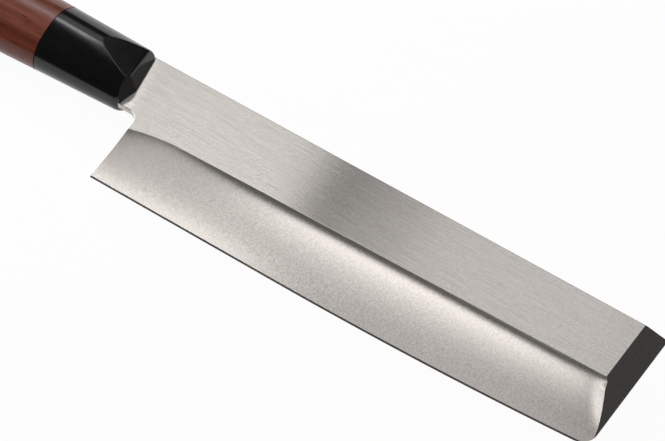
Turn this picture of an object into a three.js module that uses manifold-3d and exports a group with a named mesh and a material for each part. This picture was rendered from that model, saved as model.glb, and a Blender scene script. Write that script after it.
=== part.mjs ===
// A right-handed usuba knife: a single-bevel vegetable knife with a hidden tang.
// The steel blade runs back into a tang, which cast resin beds in a wooden grip.
// A moulded ferrule caps the grip's tenon and closes round the blade's neck.
//
// Working axes, in millimetres: +X from the ferrule to the tip, +Y from the edge to the spine, +Z out of the
// bevelled face. The ferrule's foremost point is at x = 0, the spine at y = 0, the blade's flat back at z = 0.

import * as THREE from 'three';
import { mergeVertices } from 'three/addons/utils/BufferGeometryUtils.js';
import Module from 'manifold-3d';

// Blade outline; the heel leans, in degrees, so that its corner stands forward of the notch
const EDGE_LENGTH = 165.4;
const BLADE_HEIGHT = 45.2;
const BLADE_THICKNESS = 2.1;
const EDGE_STRAIGHT = 65;
const EDGE_CURVE_RADIUS = 1400;
const TIP_CORNER_RADIUS = 5;
const HEEL_CORNER_RADIUS = 0.6;
const HEEL_LEAN = 1.7;
const NECK_REACH = 7;
const NECK_HEIGHT = 20.2;
const NOTCH_RADIUS = 3.2;

// Ground faces of the blade; the drops are measured down from the spine
const SHINOGI_DROP_AT_HEEL = 24.6;
const SHINOGI_DROP_AT_TIP = 20.9;
const SHINOGI_DROOP = 1.8;
const SHINOGI_DROOP_LENGTH = 18;
const GRINDING_WHEEL_RADIUS = 180;
const SHARPENED_WIDTH = 0.5;
const SHARPENED_SHOULDER = 0.3;
const EDGE_THICKNESS = 0.05;
const TIP_FACET_WIDTH = 7.3;
const TIP_END_THICKNESS = 0.3;
const BACK_HOLLOW_DEPTH = 0.2;
const BACK_RIM = 4;

// Handle sections: how far each stands over the spine, under the neck, and right and left of the blade's middle
const FRONT_SECTION = { over: 0.75, under: 0.75, right: 8.4, left: 7.4 };
const JOINT_SECTION = { over: 1.0, under: 1.9, right: 9.9, left: 9.0 };
const BUTT_SECTION = { over: 1.6, under: 4.2, right: 11, left: 10 };
const FERRULE_LENGTH = 31.6;
const GRIP_LENGTH = 95;
const RIDGE_RISE = 2.3;
const RIDGE_SHARPNESS = 5;
const BUTT_ROUNDING = 2;

// Ferrule front: two leaning faces that meet in a peak, and the facet that takes off the ridge; angles in degrees
const FRONT_PEAK_DROP = 13.9;
const FRONT_UPPER_LEAN = 10.4;
const FRONT_LOWER_LEAN = 9.6;
const FRONT_ROUNDING = 2.4;
const RIDGE_FACET_START = 14.4;
const RIDGE_FACET_SLOPE = 12.6;
const RIDGE_FACET_LEAN = 8.1;

// Joints inside the handle
const SHOULDER_INSET = 6.6;
const TANG_HEIGHT_AT_SHOULDER = 10.4;
const TANG_HEIGHT_AT_END = 6;
const WOOD_BEHIND_TANG = 20;
const BEDDING_BEHIND_TANG = 3;
const BEDDING_THICKNESS = 1.6;
const TENON_LENGTH = 17;
const TENON_STEP = 1.6;
const TENON_WIDTH = 12;
const GLUE_GAP = 0.3;

// How far a cutting tool reaches past what it cuts
const OVERCUT = 4;

// Places along and across the knife that follow from those sizes
const HEEL_X = NECK_REACH;
const TIP_X = HEEL_X + EDGE_LENGTH;
const CURVE_START_X = HEEL_X + EDGE_STRAIGHT;
const CURVE_CENTRE_Y = EDGE_CURVE_RADIUS - BLADE_HEIGHT;
const JOINT_X = -FERRULE_LENGTH;
const BUTT_X = JOINT_X - GRIP_LENGTH;
const SHOULDER_X = -SHOULDER_INSET;
const TANG_END_X = BUTT_X + WOOD_BEHIND_TANG;
const MORTISE_END_X = TANG_END_X - BEDDING_BEHIND_TANG;
const TENON_END_X = JOINT_X + TENON_LENGTH;
const TENON_HEIGHT = NECK_HEIGHT - 2 * TENON_STEP;
const MORTISE_HEIGHT = TANG_HEIGHT_AT_SHOULDER + 2 * BEDDING_THICKNESS;
const MORTISE_WIDTH = BLADE_THICKNESS + 2 * BEDDING_THICKNESS;
const TANG_AXIS_Y = -NECK_HEIGHT / 2;
const MID_Z = BLADE_THICKNESS / 2;

const { lerp, degToRad } = THREE.MathUtils;
const wasm = await Module();
wasm.setup();

// Turns a closed geometry into a solid that can be joined and cut.
function solidFrom(geometry) {
  geometry.deleteAttribute('normal');
  geometry.deleteAttribute('uv');
  const merged = mergeVertices(geometry, 1e-5);
  return new wasm.Manifold(new wasm.Mesh({
    numProp: 3,
    vertProperties: new Float32Array(merged.attributes.position.array),
    triVerts: new Uint32Array(merged.index.array),
  }));
}

// Gives a finished solid its name and its finish.
function namedMesh(name, solid, finish) {
  const { vertProperties, triVerts } = solid.getMesh();
  const geometry = new THREE.BufferGeometry();
  geometry.setAttribute('position', new THREE.BufferAttribute(vertProperties, 3));
  geometry.setIndex(new THREE.BufferAttribute(triVerts, 1));
  geometry.computeVertexNormals();
  const mesh = new THREE.Mesh(geometry, new THREE.MeshStandardMaterial(finish));
  mesh.name = name;
  return mesh;
}

// Skins a row of rings of equal length, from low x to high x. Each ring turns from +Y towards +Z,
// and its first point sees the whole ring, so that the two ends close as fans.
function loft(rings) {
  const count = rings[0].length;
  const faces = [];
  for (let r = 0; r + 1 < rings.length; r++) {
    for (let i = 0; i < count; i++) {
      const here = r * count + i;
      const next = r * count + (i + 1) % count;
      faces.push(here, next, here + count);
      faces.push(next, next + count, here + count);
    }
  }
  const last = (rings.length - 1) * count;
  for (let i = 1; i + 1 < count; i++) {
    faces.push(0, i + 1, i);
    faces.push(last, last + i, last + i + 1);
  }
  const geometry = new THREE.BufferGeometry().setFromPoints(rings.flat());
  geometry.setIndex(faces);
  return solidFrom(geometry);
}

// Extrudes an outline drawn in X and Y from one z to another.
function extrudeUp(outline, lowZ, highZ) {
  const settings = { depth: highZ - lowZ, bevelEnabled: false, curveSegments: 6 };
  return solidFrom(new THREE.ExtrudeGeometry(outline, settings).translate(0, 0, lowZ));
}

// A bar with rounded top and bottom that runs along X on the tang's line.
function tangLineBar(lowX, highX, height, width) {
  const radius = width / 2;
  const straight = height / 2 - radius;
  const section = new THREE.Shape();
  section.absarc(0, straight, radius, 0, Math.PI, false);
  section.absarc(0, -straight, radius, Math.PI, 2 * Math.PI, false);
  const settings = { depth: highX - lowX, bevelEnabled: false, curveSegments: 6 };
  const bar = new THREE.ExtrudeGeometry(section, settings).rotateY(Math.PI / 2);
  return solidFrom(bar.translate(lowX, TANG_AXIS_Y, MID_Z));
}

// A large block that takes away everything on the normal's side of a plane through the point.
function planeCutter(point, normal) {
  const side = 2 * EDGE_LENGTH;
  const block = new THREE.BoxGeometry(side, side, side).translate(0, 0, side / 2);
  const turn = new THREE.Quaternion().setFromUnitVectors(new THREE.Vector3(0, 0, 1), normal.normalize());
  return solidFrom(block.applyQuaternion(turn).translate(point.x, point.y, point.z));
}

// The tang's side outline, grown by a clearance so that the bedding is cut with the same shape.
function tangCorners(clearance) {
  const front = TANG_HEIGHT_AT_SHOULDER / 2 + clearance;
  const end = TANG_HEIGHT_AT_END / 2 + clearance;
  return [
    new THREE.Vector2(SHOULDER_X, TANG_AXIS_Y + front),
    new THREE.Vector2(TANG_END_X - clearance, TANG_AXIS_Y + end),
    new THREE.Vector2(TANG_END_X - clearance, TANG_AXIS_Y - end),
    new THREE.Vector2(SHOULDER_X, TANG_AXIS_Y - front),
  ];
}

// The cutting edge: straight from the heel, then a long shallow curve up to the tip.
function edgeY(x) {
  const run = Math.max(0, x - CURVE_START_X);
  return CURVE_CENTRE_Y - Math.sqrt(EDGE_CURVE_RADIUS ** 2 - run ** 2);
}

// The shinogi, where the bevel leaves the flat: it rises evenly to the tip and droops close to the heel.
function shinogiY(x) {
  const evenDrop = lerp(SHINOGI_DROP_AT_HEEL, SHINOGI_DROP_AT_TIP, (x - HEEL_X) / EDGE_LENGTH);
  const nearHeel = Math.max(0, 1 - (x - HEEL_X) / SHINOGI_DROOP_LENGTH);
  return -evenDrop - SHINOGI_DROOP * nearHeel ** 2;
}

// The blank: blade, neck and tang in one piece of sheet.
function bladeBlank() {
  const outline = new THREE.Shape();
  outline.moveTo(TIP_X, 0);
  outline.lineTo(SHOULDER_X, 0);
  for (const corner of tangCorners(0)) {
    outline.lineTo(corner.x, corner.y);
  }
  outline.lineTo(SHOULDER_X, -NECK_HEIGHT);
  const lean = degToRad(HEEL_LEAN);
  const heelLineX = (y) => HEEL_X - (y + BLADE_HEIGHT) * Math.tan(lean);
  const notchY = -NECK_HEIGHT - NOTCH_RADIUS;
  const notchX = heelLineX(notchY) - NOTCH_RADIUS / Math.cos(lean);
  outline.absarc(notchX, notchY, NOTCH_RADIUS, Math.PI / 2, lean, true);
  const heelY = HEEL_CORNER_RADIUS - BLADE_HEIGHT;
  const heelX = heelLineX(heelY) + HEEL_CORNER_RADIUS / Math.cos(lean);
  outline.absarc(heelX, heelY, HEEL_CORNER_RADIUS, Math.PI + lean, 1.5 * Math.PI, false);
  const tipX = TIP_X - TIP_CORNER_RADIUS;
  const tipReach = EDGE_CURVE_RADIUS - TIP_CORNER_RADIUS;
  const tipY = CURVE_CENTRE_Y - Math.sqrt(tipReach ** 2 - (tipX - CURVE_START_X) ** 2);
  const meet = Math.atan2(tipY - CURVE_CENTRE_Y, tipX - CURVE_START_X);
  outline.absarc(CURVE_START_X, CURVE_CENTRE_Y, EDGE_CURVE_RADIUS, -Math.PI / 2, meet, false);
  outline.absarc(tipX, tipY, TIP_CORNER_RADIUS, meet, 0, false);
  return extrudeUp(outline, 0, BLADE_THICKNESS);
}

// One section of the steel that grinding takes off the right face: the wheel's round hollow from the shinogi
// down, then the narrow sharpened face at the edge.
function bevelWasteRing(x) {
  const top = new THREE.Vector2(shinogiY(x), BLADE_THICKNESS);
  const foot = new THREE.Vector2(edgeY(x) + SHARPENED_WIDTH, SHARPENED_SHOULDER);
  const chord = top.clone().sub(foot);
  const halfAngle = Math.asin(chord.length() / 2 / GRINDING_WHEEL_RADIUS);
  const toWheel = new THREE.Vector2(-chord.y, chord.x).setLength(GRINDING_WHEEL_RADIUS * Math.cos(halfAngle));
  const wheel = top.clone().add(foot).divideScalar(2).add(toWheel);
  const down = chord.angle() - Math.PI / 2;
  const runOut = OVERCUT / GRINDING_WHEEL_RADIUS;
  const outerY = edgeY(x) - OVERCUT;
  const fall = (SHARPENED_SHOULDER - EDGE_THICKNESS) / SHARPENED_WIDTH;
  const clearZ = BLADE_THICKNESS + OVERCUT;
  const ring = [
    new THREE.Vector3(x, outerY, clearZ),
    new THREE.Vector3(x, outerY, EDGE_THICKNESS - fall * OVERCUT),
  ];
  const steps = 12;
  for (let i = 0; i <= steps; i++) {
    const angle = down + lerp(-halfAngle, halfAngle + runOut, i / steps);
    const y = wheel.x + GRINDING_WHEEL_RADIUS * Math.cos(angle);
    const z = wheel.y + GRINDING_WHEEL_RADIUS * Math.sin(angle);
    ring.push(new THREE.Vector3(x, y, z));
  }
  ring.push(new THREE.Vector3(x, ring.at(-1).y, clearZ));
  return ring;
}

// Sections stand close together where the shinogi droops, and further apart along the rest of the blade.
function bevelWaste() {
  const droopSteps = 8;
  const plainSteps = 14;
  const startX = HEEL_X - OVERCUT;
  const droopEndX = HEEL_X + SHINOGI_DROOP_LENGTH;
  const rings = [];
  for (let i = 0; i < droopSteps; i++) {
    rings.push(bevelWasteRing(lerp(startX, droopEndX, i / droopSteps)));
  }
  for (let i = 0; i <= plainSteps; i++) {
    rings.push(bevelWasteRing(lerp(droopEndX, TIP_X + OVERCUT, i / plainSteps)));
  }
  return loft(rings);
}

// The slanted facet across the front end, from the right face down to a thin end against the back.
function tipFacetWaste() {
  const start = new THREE.Vector3(TIP_X - TIP_FACET_WIDTH, 0, BLADE_THICKNESS);
  const normal = new THREE.Vector3(BLADE_THICKNESS - TIP_END_THICKNESS, 0, TIP_FACET_WIDTH);
  return planeCutter(start, normal);
}

// The shallow hollow in the flat back, which fades out to a flat rim on all four sides.
function backHollowWaste() {
  const lengthSteps = 16;
  const widthSteps = 10;
  const startUnder = BACK_HOLLOW_DEPTH / 10;
  const rings = [];
  for (let i = 0; i <= lengthSteps; i++) {
    const x = lerp(HEEL_X + BACK_RIM, TIP_X - BACK_RIM, i / lengthSteps);
    const along = lerp(-1, 1, i / lengthSteps);
    const rise = (BACK_HOLLOW_DEPTH + startUnder) * (1 - along ** 4);
    const lowY = edgeY(x) + BACK_RIM;
    const ring = [new THREE.Vector3(x, lowY, -OVERCUT), new THREE.Vector3(x, -BACK_RIM, -OVERCUT)];
    for (let j = 0; j <= widthSteps; j++) {
      const across = lerp(1, -1, j / widthSteps);
      const y = lerp(-BACK_RIM, lowY, j / widthSteps);
      ring.push(new THREE.Vector3(x, y, rise * (1 - across ** 2) - startUnder));
    }
    rings.push(ring);
  }
  return loft(rings);
}

// Sizes of the handle's section at any place: an even taper through the ferrule, an easing swell along the grip.
function sectionAt(x) {
  const inGrip = x < JOINT_X;
  const share = inGrip ? (JOINT_X - x) / GRIP_LENGTH : -x / FERRULE_LENGTH;
  const eased = inGrip ? share * (2 - share) : share;
  const from = inGrip ? JOINT_SECTION : FRONT_SECTION;
  const to = inGrip ? BUTT_SECTION : JOINT_SECTION;
  const over = lerp(from.over, to.over, eased);
  const under = lerp(from.under, to.under, eased);
  const right = lerp(from.right, to.right, eased);
  const left = lerp(from.left, to.left, eased);
  const centreY = (over - under - NECK_HEIGHT) / 2;
  const halfHeight = (NECK_HEIGHT + over + under) / 2;
  return { halfHeight, right, left, centreY, ridgeY: centreY + RIDGE_RISE };
}

// The D-shaped section: two flattened arcs that meet in a soft ridge on the right, and an oval on the left.
// An inset draws it in for the rounded ends.
function handleRing(x, inset = 0) {
  const section = sectionAt(x);
  const { centreY, ridgeY } = section;
  const halfHeight = section.halfHeight - inset;
  const right = section.right - inset;
  const ring = [];
  const arc = (arcCentreY, reachY, reachZ, from, to, steps) => {
    for (let i = 0; i < steps; i++) {
      const angle = lerp(from, to, i / steps);
      ring.push(new THREE.Vector3(x, arcCentreY + reachY * Math.sin(angle), MID_Z + reachZ * Math.cos(angle)));
    }
  };
  const upper = centreY + halfHeight - ridgeY + RIDGE_SHARPNESS;
  const upperEnd = Math.asin(RIDGE_SHARPNESS / upper);
  arc(ridgeY - RIDGE_SHARPNESS, upper, right / Math.cos(upperEnd), Math.PI / 2, upperEnd, 8);
  const lower = ridgeY + halfHeight - centreY + RIDGE_SHARPNESS;
  const lowerStart = -Math.asin(RIDGE_SHARPNESS / lower);
  arc(ridgeY + RIDGE_SHARPNESS, lower, right / Math.cos(lowerStart), lowerStart, -Math.PI / 2, 10);
  arc(centreY, halfHeight, section.left - inset, -Math.PI / 2, -1.5 * Math.PI, 16);
  return ring;
}

// How far the ferrule's front stands back from its peak at a given height.
function frontSetback(y) {
  const overPeak = y + FRONT_PEAK_DROP;
  const lean = overPeak > 0 ? FRONT_UPPER_LEAN : FRONT_LOWER_LEAN;
  return Math.abs(overPeak) * Math.tan(degToRad(lean));
}

// The ferrule's outside: tapered body, rounded front edge, two front faces and the facet across the ridge.
function ferruleBody() {
  const bodySteps = 4;
  const roundSteps = 4;
  const meanSetback = frontSetback(-NECK_HEIGHT / 2 + FRONT_PEAK_DROP / 2);
  const roundStartX = -FRONT_ROUNDING - meanSetback;
  const rings = [];
  for (let i = 0; i < bodySteps; i++) {
    rings.push(handleRing(lerp(JOINT_X, roundStartX, i / bodySteps)));
  }
  const leaningRing = (x, inset) => {
    const ring = handleRing(x, inset);
    for (const point of ring) {
      point.x += meanSetback - frontSetback(point.y);
    }
    return ring;
  };
  for (let i = 0; i <= roundSteps; i++) {
    const turn = i / roundSteps * Math.PI / 2;
    const x = roundStartX + FRONT_ROUNDING * Math.sin(turn);
    rings.push(leaningRing(x, FRONT_ROUNDING * (1 - Math.cos(turn))));
  }
  rings.push(leaningRing(OVERCUT, FRONT_ROUNDING));

  const peak = new THREE.Vector3(0, -FRONT_PEAK_DROP, MID_Z);
  const upperFront = planeCutter(peak, new THREE.Vector3(1, Math.tan(degToRad(FRONT_UPPER_LEAN)), 0));
  const lowerFront = planeCutter(peak, new THREE.Vector3(1, -Math.tan(degToRad(FRONT_LOWER_LEAN)), 0));
  const start = sectionAt(-RIDGE_FACET_START);
  const facetStart = new THREE.Vector3(-RIDGE_FACET_START, start.ridgeY, MID_Z + start.right);
  const facetSlope = Math.tan(degToRad(RIDGE_FACET_SLOPE));
  const facetLean = Math.tan(degToRad(RIDGE_FACET_LEAN));
  const ridgeFacet = planeCutter(facetStart, new THREE.Vector3(facetSlope, facetLean, 1));
  return loft(rings).subtract(upperFront).subtract(lowerFront).subtract(ridgeFacet);
}

// The mouth takes the neck, the passage behind it takes the bedded tang, the socket takes the grip's tenon.
function makeFerrule() {
  const mouthDepth = SHOULDER_INSET + GLUE_GAP + OVERCUT;
  const mouthHeight = NECK_HEIGHT + 2 * GLUE_GAP;
  const mouthWidth = BLADE_THICKNESS + 2 * GLUE_GAP;
  const mouthBlock = new THREE.BoxGeometry(mouthDepth, mouthHeight, mouthWidth);
  const mouth = solidFrom(mouthBlock.translate(OVERCUT - mouthDepth / 2, TANG_AXIS_Y, MID_Z));
  const passage = tangLineBar(JOINT_X - OVERCUT, SHOULDER_X, MORTISE_HEIGHT, MORTISE_WIDTH);
  const socketHeight = TENON_HEIGHT + 2 * GLUE_GAP;
  const socketWidth = TENON_WIDTH + 2 * GLUE_GAP;
  const socket = tangLineBar(JOINT_X - OVERCUT, TENON_END_X + GLUE_GAP, socketHeight, socketWidth);
  const ferrule = ferruleBody().subtract(mouth).subtract(passage).subtract(socket);
  return namedMesh('ferrule', ferrule, { color: 0x0b0a0c, roughness: 0.28, metalness: 0 });
}

function makeBlade() {
  const blade = bladeBlank().subtract(bevelWaste()).subtract(tipFacetWaste()).subtract(backHollowWaste());
  return namedMesh('blade', blade, { color: 0xc4beb9, roughness: 0.32, metalness: 1 });
}

// The grip: swelling body with a rounded butt, tenon at the front, blind mortise for the bedded tang.
function makeGrip() {
  const frontX = JOINT_X - GLUE_GAP;
  const roundEndX = BUTT_X + BUTT_ROUNDING;
  const roundSteps = 4;
  const swellSteps = 8;
  const rings = [];
  for (let i = 0; i < roundSteps; i++) {
    const turn = i / roundSteps * Math.PI / 2;
    const x = roundEndX - BUTT_ROUNDING * Math.cos(turn);
    rings.push(handleRing(x, BUTT_ROUNDING * (1 - Math.sin(turn))));
  }
  for (let i = 0; i <= swellSteps; i++) {
    rings.push(handleRing(lerp(roundEndX, frontX, i / swellSteps)));
  }
  const tenon = tangLineBar(frontX - OVERCUT, TENON_END_X, TENON_HEIGHT, TENON_WIDTH);
  const mortise = tangLineBar(MORTISE_END_X, TENON_END_X + OVERCUT, MORTISE_HEIGHT, MORTISE_WIDTH);
  const grip = loft(rings).add(tenon).subtract(mortise);
  return namedMesh('grip', grip, { color: 0x5a2c1e, roughness: 0.42, metalness: 0 });
}

// The resin that fills passage and mortise round the tang.
function makeTangBedding() {
  const height = MORTISE_HEIGHT - 2 * GLUE_GAP;
  const width = MORTISE_WIDTH - 2 * GLUE_GAP;
  const filling = tangLineBar(MORTISE_END_X + GLUE_GAP, SHOULDER_X - GLUE_GAP, height, width);
  const tangOutline = new THREE.Shape(tangCorners(GLUE_GAP));
  const tangSpace = extrudeUp(tangOutline, -GLUE_GAP, BLADE_THICKNESS + GLUE_GAP);
  const bedding = filling.subtract(tangSpace);
  return namedMesh('tang_bedding', bedding, { color: 0xb9a98a, roughness: 0.6, metalness: 0 });
}

const knife = new THREE.Group();
knife.add(makeBlade(), makeFerrule(), makeGrip(), makeTangBedding());

// The knife lies bevel side up; its origin is the middle of its footprint, level with its lowest point.
const extent = new THREE.Box3().setFromObject(knife);
const middle = extent.getCenter(new THREE.Vector3());
knife.position.set(-middle.x, -middle.y, -extent.min.z);

export default knife;
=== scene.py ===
import math

import bmesh
import bpy
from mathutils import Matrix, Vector


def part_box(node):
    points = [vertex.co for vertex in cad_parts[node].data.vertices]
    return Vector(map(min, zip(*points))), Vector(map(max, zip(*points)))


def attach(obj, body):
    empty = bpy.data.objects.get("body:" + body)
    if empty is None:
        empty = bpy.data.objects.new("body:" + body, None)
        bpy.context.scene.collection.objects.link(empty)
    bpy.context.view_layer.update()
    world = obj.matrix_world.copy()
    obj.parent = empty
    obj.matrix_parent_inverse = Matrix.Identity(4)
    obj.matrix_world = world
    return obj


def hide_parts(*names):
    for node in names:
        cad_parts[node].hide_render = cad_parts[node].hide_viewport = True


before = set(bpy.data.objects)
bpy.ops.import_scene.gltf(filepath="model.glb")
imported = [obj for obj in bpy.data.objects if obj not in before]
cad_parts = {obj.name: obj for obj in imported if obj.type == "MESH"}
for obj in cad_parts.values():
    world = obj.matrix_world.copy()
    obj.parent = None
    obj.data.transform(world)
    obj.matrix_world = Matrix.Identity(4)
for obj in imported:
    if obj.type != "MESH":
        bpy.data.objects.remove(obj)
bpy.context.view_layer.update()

# Blade: one blank of stainless sheet, punched out with its neck and tang. A wheel hollows the right face from
# the shinogi down to the edge, the front end is ground to a slant, and the back is dished inside a flat rim.
# Cast resin holds the tang in the handle.
mm = 0.001
blade_height = 45.2
blade_thickness = 2.1
heel_x = 7.0
tip_x = 172.4
heel_lean = math.radians(1.7)
neck_height = 20.2
notch_radius = 4.2
edge_curve_start = 72.0
edge_curve_radius = 1400.0
tip_corner_radius = 5.0
sharpened_width = 0.5
sharpened_shoulder = 0.3
edge_thickness = 0.05
tip_facet_width = 7.3
tip_end_thickness = 0.3
shinogi_drop_at_heel = 23.5
shinogi_drop_at_tip = 20.4
shinogi_droop = 2.4
shinogi_droop_length = 18.0
shoulder_x = -6.6
tang_end_x = -106.6
tang_height = 10.4
tang_end_height = 6.0
tang_middle_y = -neck_height / 2
blade_low, blade_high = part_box("blade")


def place(x, y, z):
    """The point so many mm in front of the ferrule's foremost point, above the spine and above the back."""
    return Vector((blade_high.x + (x - tip_x) * mm, blade_high.y + y * mm, blade_low.z + z * mm))


def measure(point):
    """Those same three distances in mm for a point of the frame."""
    x = (point.x - blade_high.x) / mm + tip_x
    return x, (point.y - blade_high.y) / mm, (point.z - blade_low.z) / mm


def middle_of(face):
    """The same distances for the middle of a face."""
    return measure(face.calc_center_median())


def ease(share):
    """A start and a stop without a kink, from 0 to 1."""
    share = min(1.0, max(0.0, share))
    return share * share * (3 - 2 * share)


def evenly(start, stop, steps):
    """The ends of so many even steps from start to stop."""
    return [start + (stop - start) * step / steps for step in range(1, steps + 1)]


def edge_y(x):
    """The cutting edge: straight from the heel, then a long shallow curve up to the tip."""
    run = max(0.0, x - edge_curve_start)
    return edge_curve_radius - blade_height - math.sqrt(edge_curve_radius**2 - run**2)


def shinogi_y(x):
    """The shinogi rises evenly towards the tip, and droops near the heel."""
    along = (x - heel_x) / (tip_x - heel_x)
    even_drop = shinogi_drop_at_heel + (shinogi_drop_at_tip - shinogi_drop_at_heel) * along
    near_heel = max(0.0, 1 - (x - heel_x) / shinogi_droop_length)
    return -even_drop - shinogi_droop * near_heel**2


def heel_line(y):
    """The heel leans, so that its corner stands forward of the notch."""
    return heel_x - (y + blade_height) * math.tan(heel_lean)


def pick(kind, test):
    """Selects those corners, edges or faces of the piece in edit mode that pass the test."""
    bpy.ops.mesh.select_mode(type=kind)
    bpy.ops.mesh.select_all(action="DESELECT")
    shape = bmesh.from_edit_mesh(bpy.context.object.data)
    shape.normal_update()
    for part in {"VERT": shape.verts, "EDGE": shape.edges, "FACE": shape.faces}[kind]:
        if test(part):
            part.select_set(True)
    shape.select_flush_mode()
    bmesh.update_edit_mesh(bpy.context.object.data)


def draw_out(x, y, z):
    """Extrudes what is selected by so many mm."""
    bpy.ops.mesh.extrude_region_move(TRANSFORM_OT_translate={"value": (x * mm, y * mm, z * mm)})


def turn_faces_outwards():
    """Makes all faces of the piece in edit mode point outwards."""
    bpy.ops.mesh.select_all(action="SELECT")
    bpy.ops.mesh.normals_make_consistent(inside=False)


def weld():
    """Merges corners of the piece in edit mode that lie within 0.002 mm of one another."""
    bpy.ops.mesh.select_all(action="SELECT")
    bpy.ops.mesh.remove_doubles(threshold=0.002 * mm)


def slice_off(point, normal):
    """Saws the piece in edit mode along a plane, drops what lies on the normal's side and closes the cut."""
    bpy.ops.mesh.select_all(action="SELECT")
    bpy.ops.mesh.bisect(plane_co=point, plane_no=normal, use_fill=True, clear_outer=True, threshold=1e-7)


def cut(piece, tool, way="DIFFERENCE"):
    """Takes the tool's shape out of the piece, or joins it on, and throws the tool away."""
    step = piece.modifiers.new("cut", "BOOLEAN")
    step.operation = way
    step.object = tool
    step.solver = "EXACT"
    bpy.context.view_layer.objects.active = piece
    bpy.ops.object.modifier_apply(modifier="cut")
    bpy.data.objects.remove(tool)


# The right face in rows from the spine down: the flat, the crisp line of the shinogi, the hollow and the
# narrow sharpened face. The hollow is the round of the wheel, with a steeper start under the shinogi that
# fades towards the heel and the tip. In the last 4 mm before the slant it eases partly towards a plain slope.
notch_start_y = -neck_height - notch_radius * (1 - math.sin(heel_lean))
tang_top_depth = -tang_middle_y - tang_height / 2
tang_bottom_depth = -tang_middle_y + tang_height / 2
flat_row_depths = (0.0, tang_top_depth, tang_bottom_depth, -notch_start_y)
hollow_rows = 26
row_crowding = 1.8
sums_per_row = 6
shinogi_softness = 0.2
wheel_slope_loss = 0.92
steep_start_slope = 0.2
steep_start_fade = 1.4
steep_share_at_heel = 0.15
steep_growth_length = 50.0
steep_loss_at_tip = 0.45
steep_loss_start_x = 150.0
steep_loss_length = 15.0
front_slope = 0.115
front_slope_start = 1.4
front_slope_top_round = 0.8
front_slope_foot_round = 0.2
front_reach = 3.6
front_overrun = 1.2
front_blend = 0.38
front_blend_start = 0.8
front_blend_length = 3.0


def steep_slope(x):
    """How much steeper than the wheel's round the hollow starts: less at the heel, and again at the tip."""
    growth = ease((x - heel_x) / steep_growth_length)
    loss = steep_loss_at_tip * ease((x - steep_loss_start_x) / steep_loss_length)
    return steep_start_slope * (steep_share_at_heel + (1 - steep_share_at_heel) * growth) * (1 - loss)


def hollow_rows_at(x):
    """Depth under the shinogi and height over the back for each row of the hollow, summed from its slope."""
    width = shinogi_y(x) - edge_y(x) - sharpened_width
    depths, steep, wheel = [0.0], [0.0], [0.0]
    for row in range(hollow_rows):
        start = width * (row / hollow_rows) ** row_crowding
        stop = width * ((row + 1) / hollow_rows) ** row_crowding
        part = (stop - start) / sums_per_row
        depths.append(stop)
        steep.append(steep[-1])
        wheel.append(wheel[-1])
        for count in range(sums_per_row):
            depth = start + part * (count + 0.5)
            onset = ease(depth / shinogi_softness)
            steep[-1] += part * onset * steep_slope(x) * math.exp(-depth / steep_start_fade)
            wheel[-1] += part * onset * (1 - wheel_slope_loss * depth / width)
    wheel_slope = (blade_thickness - sharpened_shoulder - steep[-1]) / wheel[-1]
    return [(depth, blade_thickness - a - wheel_slope * b) for depth, a, b in zip(depths, steep, wheel)]


def front_slope_z(depth):
    """Height over the back of the plain slope at the front end, rounded at its top and its foot."""
    past = depth - front_slope_start
    drop = front_slope * (past + math.hypot(past, front_slope_top_round)) / 2
    over_foot = blade_thickness - sharpened_shoulder - drop
    over_foot = (over_foot + math.hypot(over_foot, front_slope_foot_round)) / 2
    return min(blade_thickness, sharpened_shoulder + over_foot)


def right_face_rows(x):
    """Place below the spine and height over the back, row by row from the spine to the edge."""
    flat_share = shinogi_y(x) / shinogi_y(heel_x)
    rows = [(-depth * flat_share, blade_thickness) for depth in flat_row_depths]
    for depth, hollow_z in hollow_rows_at(x):
        slope_z = front_slope_z(depth)
        facet_share = (slope_z - tip_end_thickness) / (blade_thickness - tip_end_thickness)
        before_facet = tip_x - facet_share * tip_facet_width - x
        nearness = min(front_overrun, max(0.0, 1 - before_facet / front_reach))
        blend = front_blend * nearness**2 * ease((depth - front_blend_start) / front_blend_length)
        rows.append((shinogi_y(x) - depth, hollow_z + (slope_z - hollow_z) * blend))
    rows.append((edge_y(x), edge_thickness))
    return rows


droop_end_x = heel_x + shinogi_droop_length
front_start_x = 157.0
stations = [heel_x] + evenly(heel_x, droop_end_x, 18)
stations += evenly(droop_end_x, front_start_x, 33)
stations += evenly(front_start_x, tip_x, 30)
sections = [right_face_rows(x) for x in stations]
last_column = len(stations) - 1
last_row = len(sections[0]) - 1
bpy.ops.object.select_all(action="DESELECT")
bpy.ops.mesh.primitive_grid_add(x_subdivisions=last_column, y_subdivisions=last_row, size=1)
blade = bpy.context.object
blade.name = "blade_steel"
bpy.ops.object.mode_set(mode="EDIT")
shape = bmesh.from_edit_mesh(blade.data)
for point in shape.verts:
    column = round((point.co.x + 0.5) * last_column)
    row = round((0.5 - point.co.y) * last_row)
    x = stations[column]
    y, z = sections[column][row]
    x += (heel_line(y) - heel_x) * (tip_x - x) / (tip_x - heel_x)
    point.co = place(x, y, z)
bmesh.update_edit_mesh(blade.data)
bpy.ops.mesh.select_all(action="SELECT")
draw_out(0, 0, -blade_thickness)
bpy.ops.transform.resize(value=(1, 1, 0), center_override=place(0, 0, 0))
turn_faces_outwards()

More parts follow.
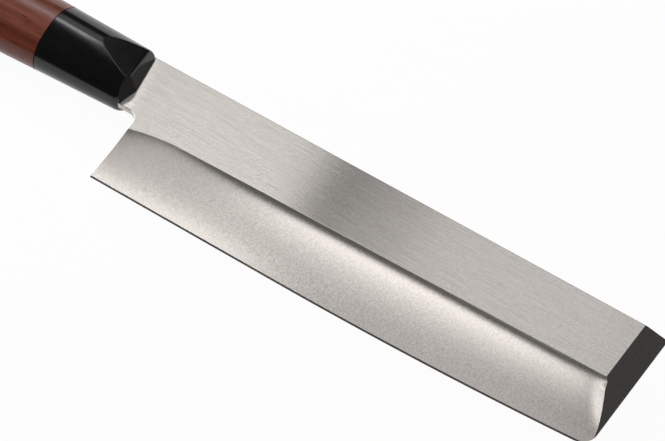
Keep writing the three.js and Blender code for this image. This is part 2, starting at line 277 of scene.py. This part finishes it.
# The neck is drawn back from the heel side in short pulls, its underside following the round of the notch.
# The tang then comes from the middle of the neck's end.
notch_steps = 8
short_pull = 0.1
underside_reach = 3.0
notch_y = -neck_height - notch_radius
notch_x = heel_line(notch_y) - notch_radius / math.cos(heel_lean)
pick("FACE", lambda face: face.normal.x < -0.9 and middle_of(face)[1] > notch_start_y)
for step in range(1, notch_steps + 1):
    turn = heel_lean + (math.pi / 2 - heel_lean) * step / notch_steps
    round_x = notch_x + notch_radius * math.cos(turn)
    round_y = notch_y + notch_radius * math.sin(turn)
    draw_out(-short_pull, 0, 0)
    shape = bmesh.from_edit_mesh(blade.data)
    for point in [point for point in shape.verts if point.select]:
        y = measure(point.co)[1]
        if y < underside_reach - neck_height:
            point.co.xy = place(round_x, round_y, 0).xy
        else:
            point.co.x = place(heel_line(y) + (notch_x - heel_line(y)) * step / notch_steps, 0, 0).x
    bmesh.update_edit_mesh(blade.data)
draw_out(shoulder_x - notch_x, 0, 0)


def on_tang_root(face):
    x, y = middle_of(face)[:2]
    return x < shoulder_x + 0.1 and abs(y - tang_middle_y) < tang_height / 2


pick("FACE", on_tang_root)
draw_out(tang_end_x - shoulder_x, 0, 0)
tang_taper = tang_end_height / tang_height
bpy.ops.transform.resize(value=(1, tang_taper, 1), center_override=place(0, tang_middle_y, 0))

# A belt takes the sharp corner off the spine, the neck and the notch, for the fingers.
finger_break = 0.2


def finger_corner(edge):
    spots = [measure(point.co) for point in edge.verts]
    on_tang = min(spot[0] for spot in spots) < shoulder_x - 1
    under_notch = min(spot[1] for spot in spots) < notch_start_y - 0.5
    if on_tang or under_notch or len(edge.link_faces) != 2:
        return False
    ups = sorted(abs(face.normal.z) for face in edge.link_faces)
    faces_an_end = abs(sum(face.normal.x for face in edge.link_faces)) > 0.99
    return ups[0] < 0.1 and ups[1] > 0.99 and not faces_an_end


pick("EDGE", finger_corner)
bpy.ops.mesh.bevel(offset=finger_break * mm, segments=3, clamp_overlap=False)

# The slanted front end, then the rounded corner under it. The back is left as one flat face.
tip_corner_steps = 10
facet_normal = Vector((blade_thickness - tip_end_thickness, 0, tip_facet_width)).normalized()
slice_off(place(tip_x - tip_facet_width, 0, blade_thickness), facet_normal)
corner_x = tip_x - tip_corner_radius
corner_reach = edge_curve_radius - tip_corner_radius
corner_run = corner_x - edge_curve_start
corner_y = edge_curve_radius - blade_height - math.sqrt(corner_reach**2 - corner_run**2)
corner_turn = math.asin(corner_run / corner_reach) - math.pi / 2
for step in range(tip_corner_steps):
    turn = corner_turn * (step + 0.5) / tip_corner_steps
    outward = Vector((math.cos(turn), math.sin(turn), 0))
    slice_off(place(corner_x, corner_y, 0) + outward * tip_corner_radius * mm, outward)
weld()
pick("FACE", lambda face: face.normal.z < -0.999 and middle_of(face)[2] < 0.01)
bpy.ops.mesh.dissolve_faces()
turn_faces_outwards()
bpy.ops.object.mode_set(mode="OBJECT")

# The dish of the back, ground inside a flat rim. Its tool is a domed sheet, thickened downwards.
back_rim = 4.0
back_hollow_depth = 0.2
dish_overcut = 0.02
dish_tool_depth = 2.0
bpy.ops.object.select_all(action="DESELECT")
bpy.ops.mesh.primitive_grid_add(x_subdivisions=48, y_subdivisions=16, size=2)
dish = bpy.context.object
bpy.ops.object.mode_set(mode="EDIT")
shape = bmesh.from_edit_mesh(dish.data)
for point in shape.verts:
    along, across = point.co.x, point.co.y
    x = heel_x + back_rim + (tip_x - heel_x - 2 * back_rim) * (along + 1) / 2
    low_y = edge_y(x) + back_rim
    dome = (1 - along**4) * (1 - across**2)
    rise = (back_hollow_depth + dish_overcut) * dome - dish_overcut
    point.co = place(x, low_y + (-back_rim - low_y) * (across + 1) / 2, rise)
bmesh.update_edit_mesh(dish.data)
bpy.ops.mesh.select_all(action="SELECT")
draw_out(0, 0, -dish_tool_depth)
bpy.ops.transform.resize(value=(1, 1, 0), center_override=place(0, 0, -dish_tool_depth))
turn_faces_outwards()
bpy.ops.object.mode_set(mode="OBJECT")
cut(blade, dish)


def linear(code):
    """An sRGB hex colour as the linear colour that a shader takes."""
    parts = [int(code[at : at + 2], 16) / 255 for at in (1, 3, 5)]
    return (*[c / 12.92 if c < 0.04045 else ((c + 0.055) / 1.055) ** 2.4 for c in parts], 1.0)


def add(material, kind, settings, links):
    """Adds one node with its settings, joins its inputs to other nodes' outputs, and gives it back."""
    node = material.node_tree.nodes.new(kind)
    for name, value in settings.items():
        if name == "stops":
            while len(node.color_ramp.elements) < len(value):
                node.color_ramp.elements.new(0.5)
            for stop, (spot, code) in zip(node.color_ramp.elements, value):
                stop.position = spot
                stop.color = linear(code)
        elif name in node.inputs.keys():
            node.inputs[name].default_value = value
        else:
            setattr(node, name, value)
    for name, output in links.items():
        material.node_tree.links.new(output, node.inputs[name])
    return node


def new_material(name):
    """An empty material, with only its output node."""
    material = bpy.data.materials.new(name)
    material.use_nodes = True
    material.node_tree.nodes.clear()
    return material, material.node_tree.nodes.new("ShaderNodeOutputMaterial").inputs["Surface"]


def marks_of(material, length, height, depth, settings):
    """Uneven marks on the piece, each about so many mm along X, Y and Z."""
    spot = add(material, "ShaderNodeTexCoord", {}, {})
    scale = (1 / (length * mm), 1 / (height * mm), 1 / (depth * mm))
    lie = add(material, "ShaderNodeMapping", {"Scale": scale}, {"Vector": spot.outputs["Object"]})
    return add(material, "ShaderNodeTexNoise", {"Scale": 1.0, **settings}, {"Vector": lie.outputs["Vector"]})


# Bare stainless brushed along the flat by a belt: clear reflections along the blade, smeared ones across it.
# The scratches are about 0.05 mm wide and are drawn 0.3 mm wide, so that they show.
brushed_flat, surface = new_material("stainless_brushed_lengthwise")
long_marks = marks_of(brushed_flat, 12, 0.3, 0.3, {"Detail": 2.0})
short_marks = marks_of(brushed_flat, 0.9, 0.3, 0.3, {"Detail": 1.0})
scratches = add(
    brushed_flat,
    "ShaderNodeMixRGB",
    {"Fac": 0.55},
    {"Color1": long_marks.outputs["Fac"], "Color2": short_marks.outputs["Fac"]},
)
tone = add(
    brushed_flat,
    "ShaderNodeValToRGB",
    {"stops": [(0.35, "#BCB7B2"), (0.65, "#D1CCC7")]},
    {"Fac": scratches.outputs["Color"]},
)
gloss = add(
    brushed_flat,
    "ShaderNodeMapRange",
    {"From Min": 0.25, "From Max": 0.75, "To Min": 0.19, "To Max": 0.21},
    {"Value": scratches.outputs["Color"]},
)
brush = add(brushed_flat, "ShaderNodeTangent", {"direction_type": "UV_MAP", "uv_map": "lie_of_brush"}, {})
steel = add(
    brushed_flat,
    "ShaderNodeBsdfPrincipled",
    {"Metallic": 1.0, "Anisotropic": 0.9, "Anisotropic Rotation": 0.25},
    {
        "Base Color": tone.outputs["Color"],
        "Roughness": gloss.outputs["Result"],
        "Tangent": brush.outputs["Tangent"],
    },
)
brushed_flat.node_tree.links.new(steel.outputs["BSDF"], surface)

# The same stainless, hollow-ground and satined across the bevel: the smear runs along the blade instead. The
# wheel's scratches are about 0.05 mm wide too, and are drawn 0.4 mm wide.
satin_bevel, surface = new_material("stainless_satin_crosswise")
scratches = marks_of(satin_bevel, 0.4, 0.7, 0.4, {"Detail": 3.0})
tone = add(
    satin_bevel,
    "ShaderNodeValToRGB",
    {"stops": [(0.3, "#BDB7B2"), (0.7, "#D1CBC6")]},
    {"Fac": scratches.outputs["Fac"]},
)
gloss = add(
    satin_bevel,
    "ShaderNodeMapRange",
    {"From Min": 0.25, "From Max": 0.75, "To Min": 0.19, "To Max": 0.21},
    {"Value": scratches.outputs["Fac"]},
)
brush = add(satin_bevel, "ShaderNodeTangent", {"direction_type": "UV_MAP", "uv_map": "lie_of_brush"}, {})
steel = add(
    satin_bevel,
    "ShaderNodeBsdfPrincipled",
    {"Metallic": 1.0, "Anisotropic": 0.4},
    {
        "Base Color": tone.outputs["Color"],
        "Roughness": gloss.outputs["Result"],
        "Tangent": brush.outputs["Tangent"],
    },
)
satin_bevel.node_tree.links.new(steel.outputs["BSDF"], surface)

# The slant, the sharpened face and the outer sides are ground on a fine wheel: darker, with reflections that
# are equally soft all round. The scratches are drawn 0.3 mm wide here too.
ground_steel, surface = new_material("stainless_fine_ground")
scratches = marks_of(ground_steel, 4, 0.3, 0.3, {"Detail": 2.0})
tone = add(
    ground_steel,
    "ShaderNodeValToRGB",
    {"stops": [(0.3, "#ACA8A4"), (0.7, "#B9B5B1")]},
    {"Fac": scratches.outputs["Fac"]},
)
gloss = add(
    ground_steel,
    "ShaderNodeMapRange",
    {"From Min": 0.25, "From Max": 0.75, "To Min": 0.2, "To Max": 0.26},
    {"Value": scratches.outputs["Fac"]},
)
steel = add(
    ground_steel,
    "ShaderNodeBsdfPrincipled",
    {"Metallic": 1.0},
    {"Base Color": tone.outputs["Color"], "Roughness": gloss.outputs["Result"]},
)
ground_steel.node_tree.links.new(steel.outputs["BSDF"], surface)


def on_slant(face):
    in_front = middle_of(face)[0] > tip_x - tip_facet_width - 0.5
    return in_front and face.normal.dot(facet_normal) > 0.9999


def on_bevel(face):
    x, y = middle_of(face)[:2]
    between = edge_y(x) + sharpened_width < y < shinogi_y(x)
    return between and face.normal.z > 0.7 and not on_slant(face)


def on_ground_side(face):
    x, y = middle_of(face)[:2]
    sharpened = face.normal.z > 0 and y < edge_y(x) + sharpened_width
    return sharpened or abs(face.normal.z) < 0.7 or on_slant(face)


bpy.context.view_layer.objects.active = blade
blade.select_set(True)
for finish in (brushed_flat, satin_bevel, ground_steel):
    blade.data.materials.append(finish)
blade.data.uv_layers.new(name="lie_of_brush")
bpy.ops.object.shade_smooth_by_angle(angle=math.radians(24))
bpy.ops.object.mode_set(mode="EDIT")
bpy.ops.mesh.select_all(action="SELECT")
bpy.ops.uv.cube_project(cube_size=0.1, scale_to_bounds=False)
for slot, test in enumerate((lambda face: True, on_bevel, on_ground_side)):
    pick("FACE", test)
    blade.active_material_index = slot
    bpy.ops.object.material_slot_assign()


# The lines where two finishes meet stay crisp, and so do the belt's corner and the rim of the dish.
def finish_border(edge):
    return len({face.material_index for face in edge.link_faces}) > 1


def corner_border(edge):
    ups = sorted(face.normal.z for face in edge.link_faces)
    return len(ups) == 2 and ups[1] > 0.99999 and ups[0] < 0.995


def rim_of_dish(edge):
    if any(abs(measure(point.co)[2]) > 0.001 for point in edge.verts):
        return False
    return any(face.normal.z < -0.999999 for face in edge.link_faces) and len(edge.link_faces) == 2


pick("EDGE", lambda edge: finish_border(edge) or corner_border(edge) or rim_of_dish(edge))
bpy.ops.mesh.mark_sharp()
bpy.ops.object.mode_set(mode="OBJECT")
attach(blade, "root")
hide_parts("blade")

# Ferrule: a collar moulded in black plastic. Two leaning front faces meet in a low peak, and a slanted facet
# takes the ridge off towards the blade. It is glued over the grip's tenon, and its mouth takes the neck.
# A section of the handle is its rise over the neck, its drop under it, and its reach to right and left.
ferrule_length = 31.6
grip_length = 95.0
joint_x = -ferrule_length
butt_x = joint_x - grip_length
middle_z = blade_thickness / 2
front_section = (0.75, 0.75, 8.4, 7.4)
joint_section = (1.0, 1.9, 9.9, 9.0)
butt_section = (1.6, 4.2, 11.0, 10.0)
ridge_rise = 2.3
ridge_rounding = 2.2
upper_lean = 5.0
lower_lean = 1.2
upper_steps = 14
ridge_steps = 8
lower_steps = 20
left_steps = 32


def section_at(x):
    """Half height, right and left reach, middle and ridge of the handle: an even taper, then a swell."""
    share = -x / ferrule_length
    start, stop = front_section, joint_section
    if x < joint_x:
        share = (joint_x - x) / grip_length
        share *= 2 - share
        start, stop = joint_section, butt_section
    over, under, right, left = [a + (b - a) * share for a, b in zip(start, stop)]
    centre_y = (over - under - neck_height) / 2
    return (neck_height + over + under) / 2, right, left, centre_y, centre_y + ridge_rise


def arc(middle_y, reach_y, reach_z, start, stop, steps):
    """Points of an oval at even turns from start to just before stop."""
    turns = [start + (stop - start) * step / steps for step in range(steps)]
    return [(middle_y + reach_y * math.sin(turn), reach_z * math.cos(turn)) for turn in turns]


def handle_ring(x, inset=0.0):
    """The D-shaped outline: two flat arcs that meet in a soft ridge on the right, and an oval on the left."""
    half_height, right, left, centre_y, ridge_y = section_at(x)
    half_height, right, left = half_height - inset, right - inset, left - inset
    upper = centre_y + half_height - ridge_y + upper_lean
    lower = ridge_y + half_height - centre_y + lower_lean
    upper_z = right / math.sqrt(1 - (upper_lean / upper) ** 2)
    lower_z = right / math.sqrt(1 - (lower_lean / lower) ** 2)
    upper_end = math.asin((upper_lean + ridge_rounding) / upper)
    lower_start = -math.asin((lower_lean + ridge_rounding) / lower)
    over = ridge_y + ridge_rounding, upper_z * math.cos(upper_end)
    under = ridge_y - ridge_rounding, lower_z * math.cos(lower_start)
    bend = over, (ridge_y, right), under
    ridge = []
    for step in range(ridge_steps):
        t = step / ridge_steps
        pulls = (1 - t) ** 2, 2 * t * (1 - t), t**2
        ridge.append([sum(pull * spot[axis] for pull, spot in zip(pulls, bend)) for axis in (0, 1)])
    ring = arc(ridge_y - upper_lean, upper, upper_z, math.pi / 2, upper_end, upper_steps) + ridge
    ring += arc(ridge_y + lower_lean, lower, lower_z, lower_start, -math.pi / 2, lower_steps)
    ring += arc(centre_y, half_height, left, -math.pi / 2, -1.5 * math.pi, left_steps)
    return [place(x, y, middle_z + z) for y, z in ring]


def handle_bar(name, rings):
    """A bar of the handle's outline, drawn from a disc ring by ring along the handle, left in edit mode."""
    bpy.ops.object.select_all(action="DESELECT")
    bpy.ops.mesh.primitive_circle_add(vertices=len(rings[0]), fill_type="NGON")
    bar = bpy.context.object
    bar.name = name
    bpy.ops.object.mode_set(mode="EDIT")
    shape = bmesh.from_edit_mesh(bar.data)
    for point, spot in zip(shape.verts, rings[0]):
        point.co = spot
    bmesh.update_edit_mesh(bar.data)
    for outline, following in zip(rings, rings[1:]):
        draw_out(1, 0, 0)
        shape = bmesh.from_edit_mesh(bar.data)
        for point in [point for point in shape.verts if point.select]:
            here = min(range(len(outline)), key=lambda at: (outline[at].yz - point.co.yz).length)
            point.co = following[here]
        bmesh.update_edit_mesh(bar.data)
    turn_faces_outwards()
    return bar


def tang_line_bar(low_x, high_x, height, width):
    """A bar with rounded top and bottom along the tang's line, from a tube stretched by its upper half."""
    lower_centre_y = tang_middle_y - (height - width) / 2
    bpy.ops.object.select_all(action="DESELECT")
    bpy.ops.mesh.primitive_cylinder_add(
        vertices=32,
        radius=width / 2 * mm,
        depth=(high_x - low_x) * mm,
        location=place((low_x + high_x) / 2, lower_centre_y, middle_z),
        rotation=(0, math.pi / 2, 0),
    )
    bpy.ops.object.transform_apply()
    bpy.ops.object.mode_set(mode="EDIT")
    pick("VERT", lambda point: measure(point.co)[1] > lower_centre_y + 0.001)
    bpy.ops.transform.translate(value=(0, (height - width) * mm, 0))
    bpy.ops.object.mode_set(mode="OBJECT")
    return bpy.context.object


# The mould rounds the front rim, so the last rings shrink as they come forward to the two front faces.
rim_x = -4.5
rim_rounding = 2.2
rim_steps = 8
front_peak_y = -13.3
upper_front_slope = 0.209
lower_front_slope = 0.2


def rim_ring(turn):
    ring = handle_ring(rim_x, rim_rounding * (1 - math.cos(turn)))
    for spot in ring:
        past = measure(spot)[1] - front_peak_y
        front_x = -abs(past) * (upper_front_slope if past > 0 else lower_front_slope)
        spot.x = place(front_x - rim_rounding * (1 - math.sin(turn)), 0, 0).x
    return ring


rim_rings = [rim_ring(math.pi / 2 * step / rim_steps) for step in range(rim_steps + 1)]
ferrule = handle_bar("ferrule_moulding", [handle_ring(joint_x)] + rim_rings)
bpy.ops.mesh.bisect(plane_co=place(0, front_peak_y, 0), plane_no=(0, 1, 0), threshold=1e-7)
bpy.ops.object.mode_set(mode="OBJECT")

# The mouth for the neck, the way for the bedded tang, and the socket for the tenon.
glue_gap = 0.3
mouth_gap = 0.06
overcut = 4.0
bedding_thickness = 1.6
mortise_height = tang_height + 2 * bedding_thickness
mortise_width = blade_thickness + 2 * bedding_thickness
tenon_step = 1.6
tenon_height = neck_height - 2 * tenon_step
tenon_width = 12.0
tenon_length = 17.0
tenon_end_x = joint_x + tenon_length
mouth_end_x = shoulder_x - glue_gap
mouth_size = (overcut - mouth_end_x, neck_height + 2 * mouth_gap, blade_thickness + 2 * mouth_gap)
bpy.ops.object.select_all(action="DESELECT")
bpy.ops.mesh.primitive_cube_add(
    size=1,
    location=place((overcut + mouth_end_x) / 2, tang_middle_y, middle_z),
    scale=[side * mm for side in mouth_size],
)
bpy.ops.object.transform_apply()
cut(ferrule, bpy.context.object)
cut(ferrule, tang_line_bar(joint_x - overcut, shoulder_x, mortise_height, mortise_width))
socket_size = (tenon_height + 2 * glue_gap, tenon_width + 2 * glue_gap)
cut(ferrule, tang_line_bar(joint_x - overcut, tenon_end_x + glue_gap, *socket_size))

# The two front faces lean back over the blade. A slanted facet takes the ridge off, and runs into them in a
# soft round.
front_lean = math.tan(math.radians(20))
front_round = 1.6
front_round_steps = 7
ridge_facet_x = -14.4
ridge_facet_drop = 0.45
ridge_facet_slope = math.tan(math.radians(12.6))
ridge_facet_lean = math.tan(math.radians(9.8))
half_height, right, left, centre_y, ridge_y = section_at(ridge_facet_x)
facet_point = place(ridge_facet_x, ridge_y, middle_z + right - ridge_facet_drop)
front_point = place(0, front_peak_y, blade_thickness)
ridge_facet_normal = Vector((ridge_facet_slope, ridge_facet_lean, 1)).normalized()
upper_front_normal = Vector((1, upper_front_slope, front_lean)).normalized()
lower_front_normal = Vector((1, -lower_front_slope, front_lean)).normalized()
bpy.context.view_layer.objects.active = ferrule
bpy.ops.object.mode_set(mode="EDIT")
slice_off(front_point, upper_front_normal)
slice_off(front_point, lower_front_normal)
slice_off(facet_point, ridge_facet_normal)
facet_depth = facet_point.dot(ridge_facet_normal) - front_round * mm
front_depth = front_point.dot(upper_front_normal) - front_round * mm
meeting = ridge_facet_normal.dot(upper_front_normal)
round_axis = ridge_facet_normal * (facet_depth - meeting * front_depth)
round_axis += upper_front_normal * (front_depth - meeting * facet_depth)
round_axis /= 1 - meeting**2
for step in range(1, front_round_steps):
    outward = ridge_facet_normal.slerp(upper_front_normal, step / front_round_steps)
    slice_off(round_axis + outward * front_round * mm, outward)

# The facet's lower border is broken a little, and catches the light as a thin line. Its shortest steps are
# merged first, so that the break runs evenly.
facet_border_break = 0.25
least_border_step = 0.15


def on_facet(face):
    return face.normal.dot(ridge_facet_normal) > 0.9999


def on_flat_side(face):
    ways = (ridge_facet_normal, upper_front_normal, lower_front_normal)
    return any(face.normal.dot(way) > 0.9999 for way in ways)


def lower_facet_border(edge):
    others = [face for face in edge.link_faces if not on_facet(face)]
    if len(edge.link_faces) != 2 or len(others) != 1:
        return False
    return others[0].normal.y < 0.03 and others[0].normal.x < 0.12


pick("VERT", lambda point: abs((point.co - facet_point).dot(ridge_facet_normal)) < 0.001 * mm)
bpy.ops.mesh.remove_doubles(threshold=least_border_step * mm)
pick("EDGE", lower_facet_border)
bpy.ops.mesh.bevel(offset=facet_border_break * mm, segments=2)
weld()
pick("EDGE", lambda edge: len({on_flat_side(face) for face in edge.link_faces}) == 2)
bpy.ops.mesh.mark_sharp()
turn_faces_outwards()
bpy.ops.object.mode_set(mode="OBJECT")

# Black plastic from a smooth mould: half gloss, with the faint unevenness of a moulded skin, about 2 mm from
# hump to hump.
moulded_black, surface = new_material("black_moulded_plastic")
skin = marks_of(moulded_black, 2, 2, 2, {"Detail": 2.0})
tone = add(
    moulded_black,
    "ShaderNodeValToRGB",
    {"stops": [(0.3, "#040304"), (0.7, "#070607")]},
    {"Fac": skin.outputs["Fac"]},
)
gloss = add(
    moulded_black,
    "ShaderNodeMapRange",
    {"From Min": 0.3, "From Max": 0.7, "To Min": 0.15, "To Max": 0.18},
    {"Value": skin.outputs["Fac"]},
)
plastic = add(
    moulded_black,
    "ShaderNodeBsdfPrincipled",
    {"IOR": 1.52},
    {"Base Color": tone.outputs["Color"], "Roughness": gloss.outputs["Result"]},
)
moulded_black.node_tree.links.new(plastic.outputs["BSDF"], surface)
ferrule.data.materials.append(moulded_black)
bpy.context.view_layer.objects.active = ferrule
ferrule.select_set(True)
bpy.ops.object.shade_smooth_by_angle(angle=math.radians(17), keep_sharp_edges=True)
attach(ferrule, "root")
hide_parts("ferrule")

# Grip: laminated wood soaked in resin, milled to the same D shape and swelling towards a rounded butt. Its
# tenon is glued into the ferrule, and a blind mortise takes the bedded tang.
butt_rounding = 2.0
bedding_behind_tang = 3.0
grip_front_x = joint_x - glue_gap
grip_stations = [butt_x] + evenly(butt_x, grip_front_x, 14)
grip = handle_bar("grip_wood", [handle_ring(x) for x in grip_stations])
pick("EDGE", lambda edge: len({face.normal.x < -0.9 for face in edge.link_faces}) == 2)
bpy.ops.mesh.bevel(offset=butt_rounding * mm, segments=5, clamp_overlap=False)
turn_faces_outwards()
bpy.ops.object.mode_set(mode="OBJECT")
mortise_end_x = tang_end_x - bedding_behind_tang
cut(grip, tang_line_bar(grip_front_x - overcut, tenon_end_x, tenon_height, tenon_width), "UNION")
cut(grip, tang_line_bar(mortise_end_x, tenon_end_x + overcut, mortise_height, mortise_width))

# Dark red-brown laminated wood, resin-filled and sanded satin: streaks along the grip with short black pores.
laminated_wood, surface = new_material("laminated_wood_sanded")
streaks = marks_of(laminated_wood, 40, 2.2, 2.2, {"Detail": 6.0, "Roughness": 0.65})
pores = marks_of(laminated_wood, 5, 0.5, 0.5, {"Detail": 1.0})
tone = add(
    laminated_wood,
    "ShaderNodeValToRGB",
    {"stops": [(0.3, "#4E1C0E"), (0.5, "#682A17"), (0.72, "#7E402C")]},
    {"Fac": streaks.outputs["Fac"]},
)
open_pore = add(
    laminated_wood,
    "ShaderNodeValToRGB",
    {"stops": [(0.26, "#241009"), (0.32, "#FFFFFF")]},
    {"Fac": pores.outputs["Fac"]},
)
colour = add(
    laminated_wood,
    "ShaderNodeMixRGB",
    {"blend_type": "MULTIPLY", "Fac": 1.0},
    {"Color1": tone.outputs["Color"], "Color2": open_pore.outputs["Color"]},
)
gloss = add(
    laminated_wood,
    "ShaderNodeMapRange",
    {"From Min": 0.3, "From Max": 0.7, "To Min": 0.27, "To Max": 0.34},
    {"Value": streaks.outputs["Fac"]},
)
wood = add(
    laminated_wood,
    "ShaderNodeBsdfPrincipled",
    {"IOR": 1.5},
    {"Base Color": colour.outputs["Color"], "Roughness": gloss.outputs["Result"]},
)
laminated_wood.node_tree.links.new(wood.outputs["BSDF"], surface)
grip.data.materials.append(laminated_wood)
bpy.context.view_layer.objects.active = grip
grip.select_set(True)
bpy.ops.object.shade_smooth_by_angle(angle=math.radians(24))
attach(grip, "root")
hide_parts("grip")

# Tang bedding: the resin that is poured into the mortise and sets round the tang. It is the CAD solid itself,
# and nothing of it shows from outside. Cast resin is matt and a little cloudy.
cast_resin, surface = new_material("amber_cast_resin")
clouds = marks_of(cast_resin, 6, 6, 6, {"Detail": 3.0})
tone = add(
    cast_resin,
    "ShaderNodeValToRGB",
    {"stops": [(0.3, "#AC9C7C"), (0.7, "#C4B494")]},
    {"Fac": clouds.outputs["Fac"]},
)
resin = add(
    cast_resin,
    "ShaderNodeBsdfPrincipled",
    {"Roughness": 0.6, "IOR": 1.55},
    {"Base Color": tone.outputs["Color"]},
)
cast_resin.node_tree.links.new(resin.outputs["BSDF"], surface)
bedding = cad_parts["tang_bedding"]
bedding.data.materials.clear()
bedding.data.materials.append(cast_resin)

# Floor: a sheet of white card under the knife, swept up far behind it. It shows white to the camera and to
# reflections, and keeps a part of its own shading for the knife's shadow.
card_size = 6000
card_rise = 600
sweep_radius = 400
card_glow_share = 0.96
back_line = (card_size / 2 - 100) * mm
bpy.ops.object.select_all(action="DESELECT")
bpy.ops.mesh.primitive_plane_add(size=card_size * mm)
floor = bpy.context.object
floor.name = "white_card"
bpy.ops.object.mode_set(mode="EDIT")
pick("EDGE", lambda edge: all(point.co.y > back_line for point in edge.verts))
draw_out(0, 0, card_rise)
pick("EDGE", lambda edge: all(point.co.y > back_line and point.co.z < 0.1 for point in edge.verts))
bpy.ops.mesh.bevel(offset=sweep_radius * mm, segments=12)
bpy.ops.object.mode_set(mode="OBJECT")
bpy.ops.object.shade_smooth()
white_card, surface = new_material("matt_white_card")
light_path = add(white_card, "ShaderNodeLightPath", {}, {})
mirrored = add(
    white_card,
    "ShaderNodeMath",
    {"operation": "MAXIMUM"},
    {0: light_path.outputs["Is Glossy Ray"], 1: light_path.outputs["Is Transmission Ray"]},
)
shown = add(
    white_card,
    "ShaderNodeMath",
    {"operation": "MAXIMUM"},
    {0: light_path.outputs["Is Camera Ray"], 1: mirrored.outputs[0]},
)
share = add(white_card, "ShaderNodeMath", {"operation": "MULTIPLY"}, {0: shown.outputs[0]})
share.inputs[1].default_value = card_glow_share
matt = add(white_card, "ShaderNodeBsdfDiffuse", {"Color": linear("#EFEFEF")}, {})
lit = add(white_card, "ShaderNodeEmission", {"Color": linear("#FFFFFF"), "Strength": 1.0}, {})
both = add(
    white_card,
    "ShaderNodeMixShader",
    {},
    {"Fac": share.outputs[0], 1: matt.outputs["BSDF"], 2: lit.outputs["Emission"]},
)
white_card.node_tree.links.new(both.outputs["Shader"], surface)
floor.data.materials.append(white_card)

# Studio light: soft boxes over the far side of the knife, where the steel mirrors them to the camera, and a
# key box beyond the butt. Cards beyond the tip and overhead light the steel for the other views. The room
# round them is dim.
room_glow = 0.08
room = bpy.data.worlds.new("dim_room")
bpy.context.scene.world = room
room.use_nodes = True
room.node_tree.nodes["Background"].inputs["Color"].default_value = linear("#FFFFFF")
room.node_tree.nodes["Background"].inputs["Strength"].default_value = room_glow


def soft_box(name, spot, size, glow, turn=0):
    """A lit panel, as bright as a white wall is at 1, with its place and size in mm. It looks straight down,
    or is turned by so many degrees towards the tip, or by less than 0 towards the handle."""
    width, depth = size
    lamp = bpy.data.lights.new(name, "AREA")
    lamp.shape = "RECTANGLE"
    lamp.size = width * mm
    lamp.size_y = depth * mm
    lamp.energy = glow * math.pi * width * depth * mm * mm
    box = bpy.data.objects.new(name, lamp)
    box.location = place(*spot)
    box.rotation_euler = (0, -math.radians(turn), 0)
    box.visible_camera = False
    bpy.context.scene.collection.objects.link(box)


soft_box("left_back_box", spot=(-256, 235, 300), size=(368, 190), glow=0.95)
soft_box("left_stripe_box", spot=(-103, 126, 300), size=(84, 28), glow=2.7)
soft_box("handle_box", spot=(-83, 31, 110), size=(57, 24), glow=5.0)
soft_box("left_low_box", spot=(-128, 75, 300), size=(104, 74), glow=0.57)
soft_box("right_back_box", spot=(48, 198, 300), size=(139, 136), glow=1.02)
soft_box("right_fade_box", spot=(-36, 198, 300), size=(28, 136), glow=0.58)
soft_box("right_low_box", spot=(36, 107, 300), size=(164, 46), glow=0.42)
soft_box("strip_box", spot=(9, 67, 300), size=(158, 34), glow=2.25)
soft_box("key_box", spot=(-560, 40, 300), size=(500, 800), glow=4.0, turn=60)
soft_box("front_card", spot=(640, 475, 400), size=(450, 800), glow=0.6, turn=-80)
soft_box("camera_side_card", spot=(760, -700, 450), size=(900, 900), glow=0.7, turn=-80)
soft_box("overhead_card", spot=(95, -100, 600), size=(280, 170), glow=0.6)

# Camera: a long lens, from the front right and above, aimed at the middle of the blade.
azimuth = math.radians(34.73)
elevation = math.radians(53.33)
camera_aim = place(73.0, -18.36, 0)
camera_distance = 815
focal_length = 155.7
level = math.cos(elevation)
away = Vector((math.sin(azimuth) * level, -math.cos(azimuth) * level, math.sin(elevation)))
lens = bpy.data.cameras.new("camera")
lens.lens = focal_length
lens.sensor_width = 36
camera = bpy.data.objects.new("camera", lens)
camera.location = camera_aim + away * camera_distance * mm
camera.rotation_euler = (-away).to_track_quat("-Z", "Y").to_euler()
bpy.context.scene.collection.objects.link(camera)
bpy.context.scene.camera = camera
bpy.context.scene.view_settings.view_transform = "Standard"
